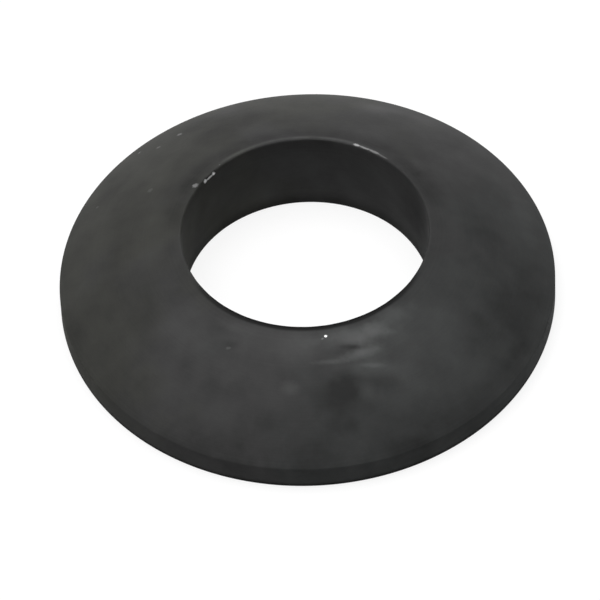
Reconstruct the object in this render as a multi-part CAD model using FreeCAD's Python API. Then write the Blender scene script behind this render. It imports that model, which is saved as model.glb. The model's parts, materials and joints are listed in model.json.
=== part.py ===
"""Domed washer for the bolt of an injector clamp: one ring, turned from steel bar and blackened.

One face is flat. The other is a zone of a sphere about the bore's axis, and it ends at a short straight rim.
The dome rocks in a dished seat, so that the bolt pulls straight when the clamp leans.
Lengths are in millimetres. +Z runs along the bore, and the flat face lies at Z = 0, centred on the origin.
"""

import FreeCAD
import Part

import math
import os

# Driving dimensions
OUTER_DIAMETER = 21.0
BORE_DIAMETER = 10.4  # clearance hole for a 10 mm bolt
THICKNESS = 4.1  # over all, from the flat face to the crown round the bore
RIM_HEIGHT = 1.1  # from the flat face to the top of the straight outer wall
DOME_EDGE_RADIUS = 0.08  # a light deburr, where the dome meets the bore and the rim
FLAT_EDGE_RADIUS = 0.12  # where the flat face meets the bore and the rim

# Directions in the cross-section, as angles anticlockwise from +X with +Z upwards
OUTWARD = 0.0
INWARD = math.pi
DOWNWARD = math.pi * 3 / 2

FULL_TURN = 360


def arc(centre, radius, start, end):
    """An arc of the cross-section, anticlockwise from one direction to another."""
    sweep = (end - start) % math.tau
    points = []
    for angle in (start, start + sweep / 2, end):
        spoke = FreeCAD.Vector(math.cos(angle), 0, math.sin(angle))
        points.append(centre + spoke * radius)
    return Part.Arc(*points)


def wall(before, after):
    """The straight line from the end of one arc to the start of the next."""
    return Part.LineSegment(before.EndPoint, after.StartPoint)


def cross_section():
    """The ring's section on the +X side of the axis: the dome, four rounded edges and three straight walls."""
    bore_radius = BORE_DIAMETER / 2
    outer_radius = OUTER_DIAMETER / 2
    mouth_centre = FreeCAD.Vector(bore_radius + FLAT_EDGE_RADIUS, 0, FLAT_EDGE_RADIUS)
    foot_centre = FreeCAD.Vector(outer_radius - FLAT_EDGE_RADIUS, 0, FLAT_EDGE_RADIUS)
    shoulder_centre = FreeCAD.Vector(outer_radius - DOME_EDGE_RADIUS, 0, RIM_HEIGHT)
    crown_centre = FreeCAD.Vector(bore_radius + DOME_EDGE_RADIUS, 0, THICKNESS - DOME_EDGE_RADIUS)

    # The sphere's centre is on the axis, as far from the crown's centre as from the shoulder's,
    # so that the dome runs tangent into both of its rounded edges.
    drop = crown_centre.z - shoulder_centre.z
    middle_height = (crown_centre.z + shoulder_centre.z) / 2
    dome_centre_height = middle_height - (shoulder_centre.x**2 - crown_centre.x**2) / (2 * drop)
    dome_centre = FreeCAD.Vector(0, 0, dome_centre_height)
    dome_radius = dome_centre.distanceToPoint(crown_centre) + DOME_EDGE_RADIUS
    shoulder_angle = math.asin((shoulder_centre.z - dome_centre.z) / (dome_radius - DOME_EDGE_RADIUS))
    crown_angle = math.asin((crown_centre.z - dome_centre.z) / (dome_radius - DOME_EDGE_RADIUS))
    print(f"dome radius {dome_radius:.3f} mm, centre at Z {dome_centre.z:.3f} mm")

    mouth_edge = arc(mouth_centre, FLAT_EDGE_RADIUS, INWARD, DOWNWARD)
    foot_edge = arc(foot_centre, FLAT_EDGE_RADIUS, DOWNWARD, OUTWARD)
    shoulder_edge = arc(shoulder_centre, DOME_EDGE_RADIUS, OUTWARD, shoulder_angle)
    dome = arc(dome_centre, dome_radius, shoulder_angle, crown_angle)
    crown_edge = arc(crown_centre, DOME_EDGE_RADIUS, crown_angle, INWARD)
    outline = [
        mouth_edge,
        wall(mouth_edge, foot_edge),
        foot_edge,
        wall(foot_edge, shoulder_edge),
        shoulder_edge,
        dome,
        crown_edge,
        wall(crown_edge, mouth_edge),
    ]
    return Part.Face(Part.Wire([curve.toShape() for curve in outline]))


def injector_washer():
    """The whole washer: its section turned once round the bore's axis."""
    origin = FreeCAD.Vector(0, 0, 0)
    bore_axis = FreeCAD.Vector(0, 0, 1)
    return cross_section().revolve(origin, bore_axis, FULL_TURN)


def write(name, shape):
    """Writes one sub-part, named for its node, and prints what it measures."""
    box = shape.optimalBoundingBox()
    print(
        f"{name}: valid {shape.isValid()}, {len(shape.Solids)} solid, "
        f"{box.XLength:.2f} x {box.YLength:.2f} x {box.ZLength:.2f} mm, {shape.Volume:.1f} mm3"
    )
    shape.exportStep(os.path.join("parts", name + ".step"))


os.makedirs("parts", exist_ok=True)
write("injector_washer", injector_washer())
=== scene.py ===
import json
import math

import bmesh
import bpy
from mathutils import Matrix, Vector, noise


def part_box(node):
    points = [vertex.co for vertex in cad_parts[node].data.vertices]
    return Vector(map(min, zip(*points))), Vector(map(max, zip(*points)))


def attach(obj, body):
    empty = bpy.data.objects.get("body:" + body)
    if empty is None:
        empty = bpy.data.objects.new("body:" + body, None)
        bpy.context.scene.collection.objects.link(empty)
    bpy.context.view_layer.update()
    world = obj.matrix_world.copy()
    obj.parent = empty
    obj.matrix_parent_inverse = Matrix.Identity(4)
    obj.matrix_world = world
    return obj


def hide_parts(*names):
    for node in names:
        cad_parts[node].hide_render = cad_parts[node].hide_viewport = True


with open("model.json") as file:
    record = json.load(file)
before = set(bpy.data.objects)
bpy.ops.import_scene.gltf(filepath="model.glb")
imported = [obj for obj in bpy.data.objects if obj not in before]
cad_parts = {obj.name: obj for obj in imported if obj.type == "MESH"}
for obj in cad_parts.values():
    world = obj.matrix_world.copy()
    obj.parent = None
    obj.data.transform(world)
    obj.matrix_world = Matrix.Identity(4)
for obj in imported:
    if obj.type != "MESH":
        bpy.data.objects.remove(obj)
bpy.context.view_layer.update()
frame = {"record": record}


# The camera looks down on the dome through a long lens, a little askew, as the photograph was taken.
# Its height, lean and distance come from matching the washer's outlines with it.
MM = 0.001
CAMERA_ELEVATION = math.radians(49.39)
CAMERA_LEAN = math.radians(-2.72)
CAMERA_DISTANCE = 297.35 * MM
LENS = 420.0
SENSOR_WIDTH = 36.0
PICTURE_WIDTH = 600
WASHER_PIXEL = (308.0, 295.1)  # where the middle of the flat face comes, from the picture's top left

camera_turn = Matrix.Rotation(math.pi / 2 - CAMERA_ELEVATION, 4, "X") @ Matrix.Rotation(CAMERA_LEAN, 4, "Z")
width_there = CAMERA_DISTANCE * SENSOR_WIDTH / LENS
washer_right = (WASHER_PIXEL[0] / PICTURE_WIDTH - 0.5) * width_there
washer_up = (0.5 - WASHER_PIXEL[1] / PICTURE_WIDTH) * width_there
washer_from_camera = Vector((washer_right, washer_up, -CAMERA_DISTANCE))

camera_data = bpy.data.cameras.new("camera")
camera_data.lens = LENS
camera_data.sensor_width = SENSOR_WIDTH
camera_data.clip_start = 10 * MM
camera_data.clip_end = 10.0
camera = bpy.data.objects.new("camera", camera_data)
camera.matrix_world = Matrix.Translation(-(camera_turn @ washer_from_camera)) @ camera_turn

scene = bpy.context.scene
scene.collection.objects.link(camera)
scene.camera = camera
scene.view_settings.view_transform = "Standard"


# The washer is one thick ring, turned from steel bar: flat where the bolt's head bears, domed where it rocks in
# the clamp's dished seat, with its four edges lightly broken. It is blackened in a hot salt bath, and knocks
# and rubbing round the hole have since gone into the black.
cad_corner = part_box("injector_washer")[1]
bolt_bore = [mount for mount in frame["record"]["mounts"] if mount["name"] == "bolt_bore"][0]
wall_half = bolt_bore["dims"]["length_mm"] / 2 * MM
OUTER_RADIUS = cad_corner.x
THICKNESS = cad_corner.z
BORE_RADIUS = bolt_bore["dims"]["r_mm"] * MM
FLAT_EDGE_RADIUS = bolt_bore["pos_m"][2] - wall_half
DOME_EDGE_RADIUS = THICKNESS - bolt_bore["pos_m"][2] - wall_half
RIM_HEIGHT = 1.1 * MM
STEPS_ROUND = 720
SLICES = 12

crown_centre = Vector((BORE_RADIUS + DOME_EDGE_RADIUS, 0, THICKNESS - DOME_EDGE_RADIUS))
shoulder_centre = Vector((OUTER_RADIUS - DOME_EDGE_RADIUS, 0, RIM_HEIGHT))
foot_centre = Vector((OUTER_RADIUS - FLAT_EDGE_RADIUS, 0, FLAT_EDGE_RADIUS))
mouth_centre = Vector((BORE_RADIUS + FLAT_EDGE_RADIUS, 0, FLAT_EDGE_RADIUS))
crown_to_shoulder = crown_centre.z - shoulder_centre.z
dome_centre = Vector((0, 0, (crown_centre.z + shoulder_centre.z) / 2))
dome_centre.z -= (shoulder_centre.x**2 - crown_centre.x**2) / (2 * crown_to_shoulder)
dome_radius = (crown_centre - dome_centre).length + DOME_EDGE_RADIUS
crown_tilt = math.atan2(crown_centre.x, crown_centre.z - dome_centre.z)
shoulder_tilt = math.atan2(shoulder_centre.x, shoulder_centre.z - dome_centre.z)


def round_off(section, start, centre, angle, steps):
    """Carries the section on from a vertex, along an arc about a centre."""
    spun = bmesh.ops.spin(section, geom=[start], cent=centre, axis=(0, 1, 0), angle=angle, steps=steps)
    return [part for part in spun["geom_last"] if isinstance(part, bmesh.types.BMVert)][0]


def go_straight(section, start, end, steps):
    """Carries the section on from a vertex, along a straight wall."""
    stride = (Vector(end) - start.co) / steps
    here = start
    for _ in range(steps):
        here = bmesh.ops.extrude_vert_indiv(section, verts=[here])["verts"][0]
        bmesh.ops.translate(section, verts=[here], vec=stride)
    return here


FINE_DOME = 0.6 * MM  # the dome's first stretch has finer steps, for the knocks beside the hole
FINE_WALL = 0.5 * MM  # and so has the top of the hole's wall

ring = bmesh.new()
wall_top = ring.verts.new((BORE_RADIUS, 0, crown_centre.z))
fine_turn = FINE_DOME / dome_radius
point = round_off(ring, wall_top, crown_centre, math.pi / 2 + crown_tilt, steps=8)
point = round_off(ring, point, dome_centre, fine_turn, steps=14)
point = round_off(ring, point, dome_centre, shoulder_tilt - crown_tilt - fine_turn, steps=56)
point = round_off(ring, point, shoulder_centre, math.pi / 2 - shoulder_tilt, steps=5)
point = go_straight(ring, point, (OUTER_RADIUS, 0, foot_centre.z), steps=3)
point = round_off(ring, point, foot_centre, math.pi / 2, steps=4)
point = go_straight(ring, point, (mouth_centre.x, 0, 0), steps=4)
point = round_off(ring, point, mouth_centre, math.pi / 2, steps=4)
point = go_straight(ring, point, (BORE_RADIUS, 0, crown_centre.z - FINE_WALL), steps=4)
go_straight(ring, point, wall_top.co, steps=9)

bmesh.ops.spin(
    ring, geom=ring.verts[:] + ring.edges[:], cent=(0, 0, 0), axis=(0, 0, 1),
    angle=math.tau / SLICES, steps=STEPS_ROUND // SLICES)
bmesh.ops.spin(
    ring, geom=ring.verts[:] + ring.edges[:] + ring.faces[:], cent=(0, 0, 0), axis=(0, 0, 1),
    angle=math.tau, steps=SLICES, use_duplicate=True)
bmesh.ops.remove_doubles(ring, verts=ring.verts[:], dist=0.0001 * MM)
bmesh.ops.recalc_face_normals(ring, faces=ring.faces[:])
for face in ring.faces:
    face.smooth = True

# The hole's edge was broken by hand with a file, so it is not quite even.
UNEVENNESS = 0.02 * MM
UNEVEN_LENGTH = 0.5 * MM
UNEVEN_REACH = 0.2 * MM

for vert in ring.verts:
    from_edge = math.hypot(vert.co.xy.length - crown_centre.x, vert.co.z - crown_centre.z)
    if from_edge < UNEVEN_REACH:
        outward = Vector((vert.co.x, vert.co.y, 0)).normalized()
        share = 1 - from_edge / UNEVEN_REACH
        vert.co += outward * share * UNEVENNESS * (0.5 + 0.5 * noise.noise(vert.co / UNEVEN_LENGTH))

# Knocks in the dome and the hole's edge. A bearing goes round from +X, a heading is the way that the knock runs,
# both in degrees, and the lengths are in millimetres. A radius below the hole's own is that far down its wall.
# Shine is how far the knock is down to bright metal.
KNOCKS = [
    # bearing, radius, heading, length, width, depth, shine
    # On the hole's edge and beside it, at the back left
    (136.0, 5.14, 225, 0.24, 0.21, 0.030, 1.00),
    (138.9, 5.13, 229, 0.64, 0.12, 0.020, 0.90),
    (142.0, 5.15, 232, 0.26, 0.24, 0.030, 0.85),
    (145.2, 5.20, 235, 0.20, 0.16, 0.030, 0.00),
    (147.3, 5.41, 180, 0.36, 0.36, 0.015, 0.22),
    (131.1, 5.31, 221, 0.10, 0.09, 0.010, 0.10),
    # On the hole's edge, at the back right
    (63.6, 5.32, 334, 0.36, 0.21, 0.015, 0.60),
    (59.2, 5.31, 329, 0.86, 0.15, 0.012, 0.30),
    (54.5, 5.32, 324, 0.80, 0.19, 0.012, 0.26),
    (50.0, 5.31, 320, 0.70, 0.14, 0.010, 0.11),
    # In front of the hole
    (276.5, 5.71, 15, 0.19, 0.14, 0.020, 0.75),
    (275.0, 5.80, 35, 0.16, 0.09, 0.008, 0.12),
    # Scattered over the left half of the dome
    (239.2, 6.68, 0, 0.30, 0.17, 0.008, 0.05),
    (124.2, 9.22, 150, 0.36, 0.30, 0.012, 0.16),
    (131.3, 9.26, 150, 0.30, 0.24, 0.008, 0.10),
    (134.0, 10.0, 60, 0.24, 0.16, 0.010, 0.16),
    (151.5, 7.38, 50, 0.36, 0.30, 0.006, 0.04),
    (155.9, 9.64, 0, 0.28, 0.14, 0.006, 0.05),
]


def on_washer(bearing, radius):
    """A point of the dome, of the hole's rounded edge or of its wall, and the way that the surface faces there."""
    turn = Matrix.Rotation(math.radians(bearing), 3, "Z")
    if radius <= BORE_RADIUS:
        # A knock from above cuts the top of the wall off at 45 degrees.
        facing = Vector((-1, 0, 1)).normalized()
        return turn @ Vector((BORE_RADIUS, 0, crown_centre.z - (BORE_RADIUS - radius))), turn @ facing
    centre, reach = dome_centre, dome_radius
    if radius < crown_centre.x:
        centre, reach = crown_centre, DOME_EDGE_RADIUS
    lean = math.asin((radius - centre.x) / reach)
    facing = Vector((math.sin(lean), 0, math.cos(lean)))
    return turn @ (centre + facing * reach), turn @ facing


def press(form, middle, facing, heading, length, width, depth):
    """Presses a shallow hollow into the form, or a flat across its edge."""
    across = facing.cross(Vector((math.cos(heading), math.sin(heading), 0))).normalized()
    along = across.cross(facing)
    for near in [vert for vert in form.verts if (vert.co - middle).length < length]:
        offset = near.co - middle
        spread = (2 * offset.dot(along) / length)**2 + (2 * offset.dot(across) / width)**2
        above_floor = offset.dot(facing) + depth * (1 - spread)
        if spread < 1 and above_floor > 0:
            near.co -= facing * above_floor


for bearing, radius, heading, length, width, depth, _ in KNOCKS:
    middle, facing = on_washer(bearing, radius * MM)
    press(ring, middle, facing, math.radians(heading), length * MM, width * MM, depth * MM)

washer_mesh = bpy.data.meshes.new("washer")
ring.to_mesh(washer_mesh)
ring.free()
washer = bpy.data.objects.new("washer", washer_mesh)
scene.collection.objects.link(washer)


def fill(tree, socket, value):
    """Gives a socket its link or its value."""
    if isinstance(value, bpy.types.NodeSocket):
        tree.links.new(value, socket)
    else:
        socket.default_value = value


def add(tree, kind, sockets, **settings):
    """Adds a shader node, with its settings and with values or links for its sockets, and gives its output."""
    made = tree.nodes.new("ShaderNode" + kind)
    for name, value in settings.items():
        setattr(made, name, value)
    for name, value in sockets.items():
        named = [socket for socket in made.inputs if socket.enabled and socket.name == name]
        fill(tree, named[0] if named else made.inputs[name], value)
    return [socket for socket in made.outputs if socket.enabled][0]


def calculate(tree, operation, *values):
    """A Math node."""
    return add(tree, "Math", dict(enumerate(values)), operation=operation)


def vary(tree, value, pattern, amount):
    """Adds a pattern that runs from 0 to 1 to the value, so that it changes it by half the amount either way."""
    return calculate(tree, "MULTIPLY_ADD", pattern, amount, calculate(tree, "SUBTRACT", value, amount / 2))


def fade(tree, value, start, end):
    """Goes smoothly from 0 where the value is at the start to 1 where it is at the end."""
    return add(
        tree, "MapRange", {"Value": value, "From Min": start, "From Max": end}, interpolation_type="SMOOTHSTEP")


def flatten(tree, position):
    """The position with no height."""
    return add(tree, "VectorMath", {0: position, 1: (1, 1, 0)}, operation="MULTIPLY")


def length_of(tree, vector):
    """How long a vector is."""
    return add(tree, "VectorMath", {0: vector}, operation="LENGTH")


def height_of(tree, position):
    """How high a position is."""
    return add(tree, "SeparateXYZ", {0: position}).node.outputs["Z"]


def new_group(name, inputs, output):
    """A node group with these inputs, each a name, a kind and a value, and one output."""
    group = bpy.data.node_groups.new(name, "ShaderNodeTree")
    for label, kind, value in inputs:
        socket = group.interface.new_socket(label, in_out="INPUT", socket_type="NodeSocket" + kind)
        socket.default_value = value
    group.interface.new_socket(output, in_out="OUTPUT", socket_type="NodeSocketFloat")
    given = group.nodes.new("NodeGroupInput").outputs
    result = group.nodes.new("NodeGroupOutput").inputs[output]
    return group, given, result


def use_group(tree, group, **sockets):
    """Puts the group into a tree, with values or links for its inputs."""
    made = tree.nodes.new("ShaderNodeGroup")
    made.node_tree = group
    for name, value in sockets.items():
        fill(tree, made.inputs[name.replace("_", " ").capitalize()], value)
    return made.outputs[0]


# A worn or stained spot, or a patch of painted highlight: an ellipsoid with a ragged, soft outline. Lengths in the
# material are millimetres.
SPOT_REACH = 2  # how far out its distance is known, in its own half sizes

spot, given, result = new_group("spot", [
    ("Nearness", "Float", 0), ("Wobble", "Float", 0), ("Softness", "Float", 0.5)], "Mask")
far = calculate(spot, "MULTIPLY_ADD", given["Nearness"], -SPOT_REACH, SPOT_REACH)
far = calculate(spot, "ADD", far, given["Wobble"])
spot.links.new(fade(spot, far, 1, calculate(spot, "SUBTRACT", 1, given["Softness"])), result)


def spot_on(tree, position, bearing, radius, heading, size, softness, wobble):
    """The mask of one spot on the washer. The gradient's own mapping places it: a Mapping node for each of so many
    spots would fill the renderer's memory for a material."""
    middle, _ = on_washer(bearing, radius * MM)
    gradient = add(tree, "TexGradient", {"Vector": position}, gradient_type="SPHERICAL").node
    gradient.texture_mapping.vector_type = "TEXTURE"
    gradient.texture_mapping.translation = middle / MM
    gradient.texture_mapping.rotation = (0, 0, math.radians(heading))
    gradient.texture_mapping.scale = [SPOT_REACH * side / 2 for side in size]
    return use_group(tree, spot, nearness=gradient.outputs["Fac"], wobble=wobble, softness=softness)


# A band along a round edge, for a part of the way round, broken up in places: it paints a highlight on one edge
# and shade on the others.
painted_light_band, given, result = new_group("painted_light_band", [
    ("Position", "Vector", (0, 0, 0)), ("Radius", "Float", 5), ("Height", "Float", 4), ("Reach", "Float", 0.1),
    ("Facing", "Vector", (0, 1, 0)), ("Starts at", "Float", 0), ("Full at", "Float", 0.5),
    ("Breaks", "Float", 0.3)], "Mask")
flat_position = flatten(painted_light_band, given["Position"])
off_edge = add(painted_light_band, "CombineXYZ", {
    "X": calculate(painted_light_band, "SUBTRACT", length_of(painted_light_band, flat_position), given["Radius"]),
    "Y": calculate(painted_light_band, "SUBTRACT", height_of(painted_light_band, given["Position"]), given["Height"])})
near_edge = fade(painted_light_band, length_of(painted_light_band, off_edge), given["Reach"], 0)
way_out = add(painted_light_band, "VectorMath", {0: flat_position}, operation="NORMALIZE")
ahead = add(painted_light_band, "VectorMath", {0: way_out, 1: given["Facing"]}, operation="DOT_PRODUCT")
on_this_side = fade(painted_light_band, ahead, given["Starts at"], given["Full at"])
uneven = add(painted_light_band, "TexNoise", {"Vector": given["Position"], "Scale": 1.6, "Detail": 3})
uneven = calculate(painted_light_band, "MULTIPLY", fade(painted_light_band, uneven, 0.6, 0.4), given["Breaks"])
kept = calculate(painted_light_band, "SUBTRACT", 1, uneven)
band = calculate(painted_light_band, "MULTIPLY", calculate(painted_light_band, "MULTIPLY", near_edge, on_this_side), kept)
painted_light_band.links.new(band, result)

# The fine rings that the turning tool left, of uneven depth.
turning_marks, given, result = new_group("turning_marks", [
    ("Position", "Vector", (0, 0, 0)), ("Rings per mm", "Float", 8)], "Height")
out_from_axis = length_of(turning_marks, flatten(turning_marks, given["Position"]))
along_cut = calculate(turning_marks, "SUBTRACT", out_from_axis, height_of(turning_marks, given["Position"]))
marks = add(
    turning_marks, "TexNoise", {"W": along_cut, "Scale": given["Rings per mm"], "Detail": 3},
    noise_dimensions="1D")
turning_marks.links.new(marks, result)

# Where the black is thin it is greyer, and where it is deep it is blacker.
DEEP_BLACK = (0.006, 0.006, 0.006, 1)
THIN_BLACK = (0.086, 0.086, 0.086, 1)
BARE_STEEL = (0.62, 0.62, 0.62, 1)
THINNESS = 0.25  # of the plain black, where 0 is the deepest and 1 the thinnest
CLOUD_CHANGE = 0.44  # how much that changes with the clouds, the grain and the turning rings
GRAIN_CHANGE = 0.08
RING_CHANGE = 0.05
RIM_THINNER = 0.14
HOLE_THINNER = 0.18
WALL_BLEND = 0.04  # how far the finish of the two straight walls runs into their rounded edges

# It has a cast of olive on the left and of slate on the right.
NO_TINT = (1, 1, 1, 1)
OLIVE_TINT = (1.02, 1.03, 0.92, 1)
SLATE_TINT = (0.97, 1.01, 1.00, 1)
TOWARDS_SLATE = (0.045, -0.03, 0)  # for each millimetre to the right, back and up
OLIVE_FADES_IN = (0.5, 0.15)
SLATE_FADES_IN = (0.6, 0.9)

# It is matt, and roughest on the two straight walls, which are left as the tool cut them.
ROUGHNESS = 0.56
GRAIN_ROUGHER = 0.12
METAL_ROUGHER = -0.3
WALLS_ROUGHER = 0.35
FRONT_EDGE_ROUGHER = 0.4
GLOSS = 0.17
RELIEF = 0.01 * MM
RELIEF_STRENGTH = 0.25
RINGS_IN_RELIEF = 0.5  # against the grain's 1

# Rubbed and stained places, where the black is thinner (+) or deeper (-); the bright patch in front of the hole is
# partly rubbed and partly a painted highlight. They are placed as the knocks are, and their outlines are ragged,
# most finely on the narrow ones.
WIDE = 2.0
NARROW = 1.0
RAGGEDNESS = [(0.8, 0.7), (1.6, 0.7), (6, 0.4), (12, 0.7)]  # scale and amount: wide, middling, narrow, knocks
KNOCK_SOFTNESS = 0.6
RUBS = [
    # bearing, radius, heading, length, width, softness, thinness
    # The bright patch in front of the hole, partly rubbed and partly a painted highlight
    (285.5, 5.9, 9, 4.0, 1.2, 0.9, 0.44),
    (304, 5.9, 38, 3.6, 1.3, 0.9, 0.34),
    (293, 6.1, 18, 2.6, 1.5, 0.9, 0.26),
    (292, 6.7, 13, 1.9, 1.0, 0.9, 0.26),
    (302, 6.6, 30, 2.4, 1.0, 1.0, 0.10),
    (288, 7.2, 178, 3.4, 1.2, 1.0, 0.28),
    (261, 6.0, 171, 5.0, 2.6, 1.0, 0.24),
    # The strokes in it, three bright and one dark
    (276.1, 6.75, 3, 2.2, 0.28, 0.9, 0.26),
    (287.3, 6.68, 17, 2.7, 0.65, 0.9, 0.44),
    (290.4, 7.26, 183, 1.5, 0.3, 0.9, 0.25),
    (286.5, 6.38, 0, 1.9, 0.3, 0.9, -0.24),
    # The dark stain farther out, with a lighter gap in it and a light spot beside it
    (276.0, 8.2, 8, 2.9, 2.2, 1.0, -0.21),
    (281.0, 7.72, 5, 2.1, 1.6, 0.9, -0.20),
    (282, 7.2, 1, 1.0, 1.7, 1.0, -0.06),
    (292.3, 8.0, 172, 2.0, 1.3, 0.8, -0.20),
    (286.3, 8.1, 90, 1.3, 0.9, 1.0, 0.12),
    (263, 7.7, 175, 1.2, 0.9, 1.0, 0.23),
    # Small dark stains at the front, towards the rim
    (280, 9.2, 1, 1.0, 0.9, 1.0, -0.08),
    (277, 9.15, 5, 2.0, 1.4, 1.0, -0.14),
    (258, 9.1, 170, 1.8, 1.4, 1.0, -0.13),
    (292, 10.35, 12, 3.6, 1.1, 0.8, -0.17),
    (311, 10.4, 36, 3.3, 1.1, 0.8, -0.05),
    # The front right, rubbed grey
    (312, 7.2, 36, 6.5, 4.2, 1.0, 0.15),
    (315, 9.1, 157, 5.1, 3.0, 1.0, 0.13),
    (298, 8.3, 25, 4.4, 2.8, 1.0, 0.14),
    # The right, the deepest black but for a light place near the rim
    (341, 9.4, 96, 4.9, 4.0, 0.9, -0.14),
    (340, 9.0, 75, 5.5, 3.0, 1.0, -0.07),
    (329, 8.2, 150, 2.4, 1.4, 1.0, -0.10),
    (330, 10.0, 60, 2.6, 1.2, 1.0, -0.10),
    (321, 10.0, 50, 4.0, 1.6, 1.0, -0.12),
    (3, 7.9, 93, 6.0, 3.6, 1.0, -0.12),
    (16, 9.6, 106, 3.0, 1.6, 1.0, 0.12),
    # The back, light and dark by turns
    (38, 6.2, 128, 1.8, 0.9, 1.0, 0.10),
    (46, 9.0, 145, 3.0, 3.0, 1.0, -0.11),
    (55, 9.5, 144, 2.3, 2.2, 1.0, 0.17),
    (69, 9.2, 0, 2.8, 2.4, 1.0, 0.32),
    (110, 8.0, 25, 4.7, 3.6, 1.0, -0.15),
    (121, 9.5, 39, 3.4, 3.0, 1.0, -0.13),
    (143, 7.6, 60, 3.2, 2.0, 1.0, 0.12),
    (146, 8.5, 62, 2.8, 1.6, 1.0, 0.10),
    (152, 10.2, 62, 3.6, 1.6, 1.0, 0.12),
    # The left
    (170, 9.0, 80, 5.5, 3.2, 1.0, 0.05),
    (176, 6.6, 89, 4.1, 3.3, 1.0, 0.11),
    (184, 5.7, 92, 1.8, 0.9, 1.0, -0.10),
    (196, 10.3, 105, 4.4, 1.4, 1.0, -0.12),
    # The front left, rubbed and with two small stains
    (217, 6.1, 128, 2.4, 1.2, 1.0, 0.13),
    (223, 7.0, 133, 3.8, 2.4, 1.0, 0.17),
    (237, 9.1, 142, 4.9, 2.9, 1.0, 0.10),
    (238, 5.8, 151, 2.5, 0.8, 1.0, 0.20),
    (240, 6.3, 150, 2.6, 1.2, 1.0, 0.08),
    (244, 7.6, 161, 2.4, 1.7, 1.0, 0.12),
    (230, 8.1, 165, 1.6, 2.3, 1.0, -0.11),
    (240, 6.5, 169, 1.2, 0.7, 1.0, -0.13),
    # The hole's wall, at the right
    (22, 3.6, 112, 4.6, 3.2, 1.0, -0.26),
]

# Bands of painted highlight and painted shade along the edges, each on one side of the washer: a painted highlight
# on the back of the hole's edge, and painted shade behind it, on the front of the hole's edge, round the foot of
# the rim, round the bottom of the hole and on the front of the dome towards the rim. How far a place lies that way
# runs from -1, straight opposite, to 1, and the band fades in between two such values. One that is full at -1 goes
# all the way round.
hole_radius, rim_radius, crown_height, shoulder_height = [
    size / MM for size in (BORE_RADIUS, OUTER_RADIUS, THICKNESS, RIM_HEIGHT)]
BACK = (0, 1, 0)
FRONT = (0, -1, 0)
EDGE_BANDS = {
    # name: (radius, height, reach, side, starts at, full at, breaks, thinness: painted highlight (+) or painted
    # shade (-))
    # Painted highlight along the back of the hole's edge
    "painted_highlight_back_edge": (hole_radius + 0.16, crown_height, 0.2, BACK, 0.68, 0.9, 0.5, 0.36),
    # Painted shade on the dome behind the hole's back edge
    "painted_shade_behind_back_edge": (hole_radius + 0.55, crown_height - 0.2, 0.9, BACK, -0.1, 0.5, 0.3, -0.17),
    # Painted shade along the front of the hole's edge
    "painted_shade_front_edge": (hole_radius + 0.02, crown_height, 0.3, FRONT, 0.35, 0.85, 0, -0.9),
    # Painted shade all round the foot of the rim, where it meets the table
    "painted_shade_foot": (rim_radius, 0, 0.35, FRONT, -2, -1, 0, -0.6),
    # Painted shade all round the bottom of the hole's wall
    "painted_shade_mouth": (hole_radius, 0, 0.9, BACK, -2, -1, 0, -0.3),
    # Painted shade on the front of the dome, towards the rim
    "painted_shade_front_shoulder": (rim_radius - 0.1, shoulder_height + 0.1, 1.7, FRONT, 0.6, 0.95, 0.4, -0.12),
}

steel = bpy.data.materials.new("blackened_steel")
steel.use_nodes = True
tree = steel.node_tree
shader = tree.nodes["Principled BSDF"]
coordinates = tree.nodes.new("ShaderNodeTexCoord").outputs["Object"]
position = add(tree, "VectorMath", {0: coordinates, "Scale": 1 / MM}, operation="SCALE")
from_axis = length_of(tree, flatten(tree, position))
in_hole = fade(tree, from_axis, hole_radius + WALL_BLEND, hole_radius)
on_rim = fade(tree, from_axis, rim_radius - WALL_BLEND, rim_radius)

clouds = add(tree, "TexNoise", {"Vector": position, "Scale": 0.55, "Detail": 4, "Roughness": 0.55})
grain = add(tree, "TexNoise", {"Vector": position, "Scale": 9, "Detail": 3})
rings = use_group(tree, turning_marks, position=position, rings_per_mm=8)

thinness_and_painted_light = vary(tree, THINNESS, clouds, CLOUD_CHANGE)
thinness_and_painted_light = vary(tree, thinness_and_painted_light, grain, GRAIN_CHANGE)
thinness_and_painted_light = vary(tree, thinness_and_painted_light, rings, RING_CHANGE)
wide_wobble, middling_wobble, narrow_wobble, knock_wobble = [
    vary(tree, 0, add(tree, "TexNoise", {"Vector": position, "Scale": scale, "Detail": 2}), amount)
    for scale, amount in RAGGEDNESS]
for bearing, radius, heading, length, width, softness, change in RUBS:
    wobble = wide_wobble if width >= WIDE else narrow_wobble if width < NARROW else middling_wobble
    size = (length, width, max(length, width))
    mask = spot_on(tree, position, bearing, radius, heading, size, softness, wobble)
    thinness_and_painted_light = calculate(tree, "MULTIPLY_ADD", mask, change, thinness_and_painted_light)
# The edge bands add painted highlight and painted shade to the thinness of the black.
bands = {}
for name, (radius, height, reach, side, starts_at, full_at, breaks, change) in EDGE_BANDS.items():
    bands[name] = use_group(
        tree, painted_light_band, position=position, radius=radius, height=height, reach=reach, facing=side,
        starts_at=starts_at, full_at=full_at, breaks=breaks)
    thinness_and_painted_light = calculate(tree, "MULTIPLY_ADD", bands[name], change, thinness_and_painted_light)
thinness_and_painted_light = calculate(tree, "MULTIPLY_ADD", on_rim, RIM_THINNER, thinness_and_painted_light)
thinness_and_painted_light = calculate(tree, "MULTIPLY_ADD", in_hole, HOLE_THINNER, thinness_and_painted_light)

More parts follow.
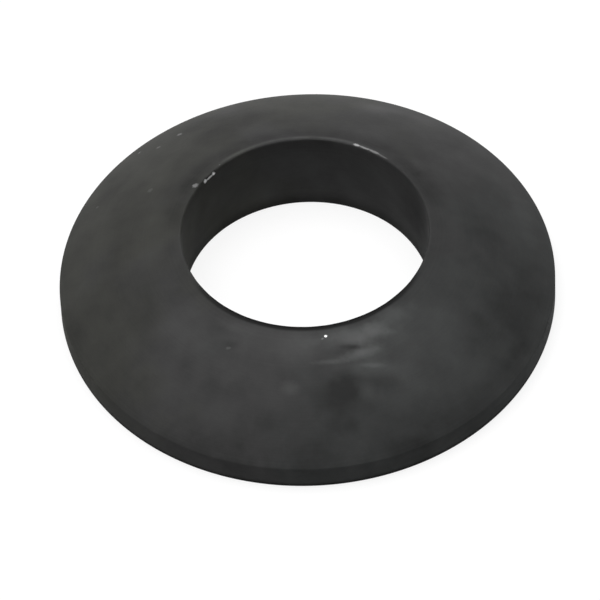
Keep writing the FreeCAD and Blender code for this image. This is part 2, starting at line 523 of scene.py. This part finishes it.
black = add(tree, "Mix", {"Factor": thinness_and_painted_light, "A": DEEP_BLACK, "B": THIN_BLACK}, data_type="RGBA")
slate = add(tree, "VectorMath", {0: position, 1: TOWARDS_SLATE}, operation="DOT_PRODUCT")
slate = calculate(tree, "ADD", slate, add(tree, "TexNoise", {"Vector": position, "Scale": 0.3, "Detail": 2}))
to_olive = fade(tree, slate, *OLIVE_FADES_IN)
to_slate = fade(tree, slate, *SLATE_FADES_IN)
tint = add(tree, "Mix", {"Factor": to_olive, "A": NO_TINT, "B": OLIVE_TINT}, data_type="RGBA")
tint = add(tree, "Mix", {"Factor": to_slate, "A": tint, "B": SLATE_TINT}, data_type="RGBA")
black = add(tree, "Mix", {"Factor": 1, "A": black, "B": tint}, data_type="RGBA", blend_type="MULTIPLY")

shine = 0
for bearing, radius, heading, length, width, _, down_to_metal in KNOCKS:
    size = (length, width, width)
    mask = spot_on(tree, position, bearing, radius, heading, size, KNOCK_SOFTNESS, knock_wobble)
    shine = calculate(tree, "MAXIMUM", shine, calculate(tree, "MULTIPLY", mask, down_to_metal))

colour = add(tree, "Mix", {"Factor": shine, "A": black, "B": BARE_STEEL}, data_type="RGBA")
roughness = calculate(tree, "MULTIPLY_ADD", grain, GRAIN_ROUGHER, ROUGHNESS)
roughness = calculate(tree, "MULTIPLY_ADD", shine, METAL_ROUGHER, roughness)
roughness = calculate(tree, "MULTIPLY_ADD", calculate(tree, "ADD", in_hole, on_rim), WALLS_ROUGHER, roughness)
roughness = calculate(tree, "MULTIPLY_ADD", bands["painted_shade_front_edge"], FRONT_EDGE_ROUGHER, roughness)
relief = calculate(tree, "MULTIPLY_ADD", rings, RINGS_IN_RELIEF, grain)
normal = add(tree, "Bump", {"Strength": RELIEF_STRENGTH, "Distance": RELIEF, "Height": relief})
tree.links.new(colour, shader.inputs["Base Color"])
tree.links.new(shine, shader.inputs["Metallic"])
tree.links.new(roughness, shader.inputs["Roughness"])
tree.links.new(normal, shader.inputs["Normal"])
shader.inputs["Specular IOR Level"].default_value = GLOSS
washer_mesh.materials.append(steel)

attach(washer, "root")
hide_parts("injector_washer")


# The table is a wide white sheet. Where the camera sees it, also as a reflection, most of its white is as given
# and the rest as it is lit, so that the washer's soft shadow stays on it. From below it is seen through.
TABLE_WIDTH = 4.0
TABLE_GAP = 0.01 * MM  # under the flat face, so that the two don't share one plane
TABLE_WHITE = 0.8
WHITE_AS_GIVEN = 0.84
WHITE_AS_LIT = 0.18

table_form = bmesh.new()
bmesh.ops.create_grid(table_form, x_segments=1, y_segments=1, size=TABLE_WIDTH / 2)
table_mesh = bpy.data.meshes.new("table")
table_form.to_mesh(table_mesh)
table_form.free()
table = bpy.data.objects.new("table", table_mesh)
table.location.z = -TABLE_GAP
scene.collection.objects.link(table)


def grey(level):
    """A neutral colour."""
    return level, level, level, 1


def as_background(tree):
    """1 for what the camera sees, straight on, as a reflection or through glass, and 0 for light on the object."""
    rays = tree.nodes.new("ShaderNodeLightPath").outputs
    indirect = calculate(tree, "MAXIMUM", rays["Is Glossy Ray"], rays["Is Transmission Ray"])
    return calculate(tree, "MAXIMUM", rays["Is Camera Ray"], indirect)


sheet = bpy.data.materials.new("white_sheet")
sheet.use_nodes = True
tree = sheet.node_tree
tree.nodes.clear()
lit = add(tree, "BsdfDiffuse", {"Color": grey(TABLE_WHITE)})
seen_lit = add(tree, "BsdfDiffuse", {"Color": grey(WHITE_AS_LIT)})
seen = add(tree, "AddShader", {0: seen_lit, 1: add(tree, "Emission", {"Strength": WHITE_AS_GIVEN})})
surface = add(tree, "MixShader", {0: as_background(tree), 1: lit, 2: seen})
from_below = tree.nodes.new("ShaderNodeNewGeometry").outputs["Backfacing"]
one_sided = add(tree, "MixShader", {0: from_below, 1: surface, 2: add(tree, "BsdfTransparent", {})})
tree.links.new(one_sided, tree.nodes.new("ShaderNodeOutputMaterial").inputs["Surface"])
table_mesh.materials.append(sheet)


# The studio's lamps are big round softboxes, all aimed at the washer. Bearings go round from the camera's side,
# through the washer's right; a brightness of 1 alone would show a white card that faces it as white.
LAMP_DISTANCE = 0.6
LAMP_RADIUS = 0.28
SOFTBOXES = [
    # name, bearing, elevation, brightness
    ("top_softbox", 0, 89, 0.60),
    ("left_softbox", 270, 65, 0.30),
    ("back_softbox", 180, 65, 0.21),
    ("low_front_softbox", 0, 14, 0.04),
]

for name, bearing, elevation, brightness in SOFTBOXES:
    lamp_data = bpy.data.lights.new(name, "AREA")
    lamp_data.shape = "DISK"
    lamp_data.size = 2 * LAMP_RADIUS
    lamp_data.energy = brightness * math.pi**2 * (LAMP_DISTANCE**2 + LAMP_RADIUS**2)
    lamp = bpy.data.objects.new(name, lamp_data)
    round_washer = Matrix.Rotation(math.radians(bearing), 4, "Z")
    tilt = Matrix.Rotation(math.radians(90 - elevation), 4, "X")
    lamp.matrix_world = round_washer @ tilt @ Matrix.Translation((0, 0, LAMP_DISTANCE))
    lamp.visible_camera = False
    scene.collection.objects.link(lamp)


# The wall behind is a second white sheet. It is white where the camera sees it and where the steel mirrors it,
# and it lights nothing.
world = bpy.data.worlds.new("white_wall")
world.use_nodes = True
wall = world.node_tree.nodes["Background"]
wall.inputs["Color"].default_value = grey(1)
world.node_tree.links.new(as_background(world.node_tree), wall.inputs["Strength"])
scene.world = world
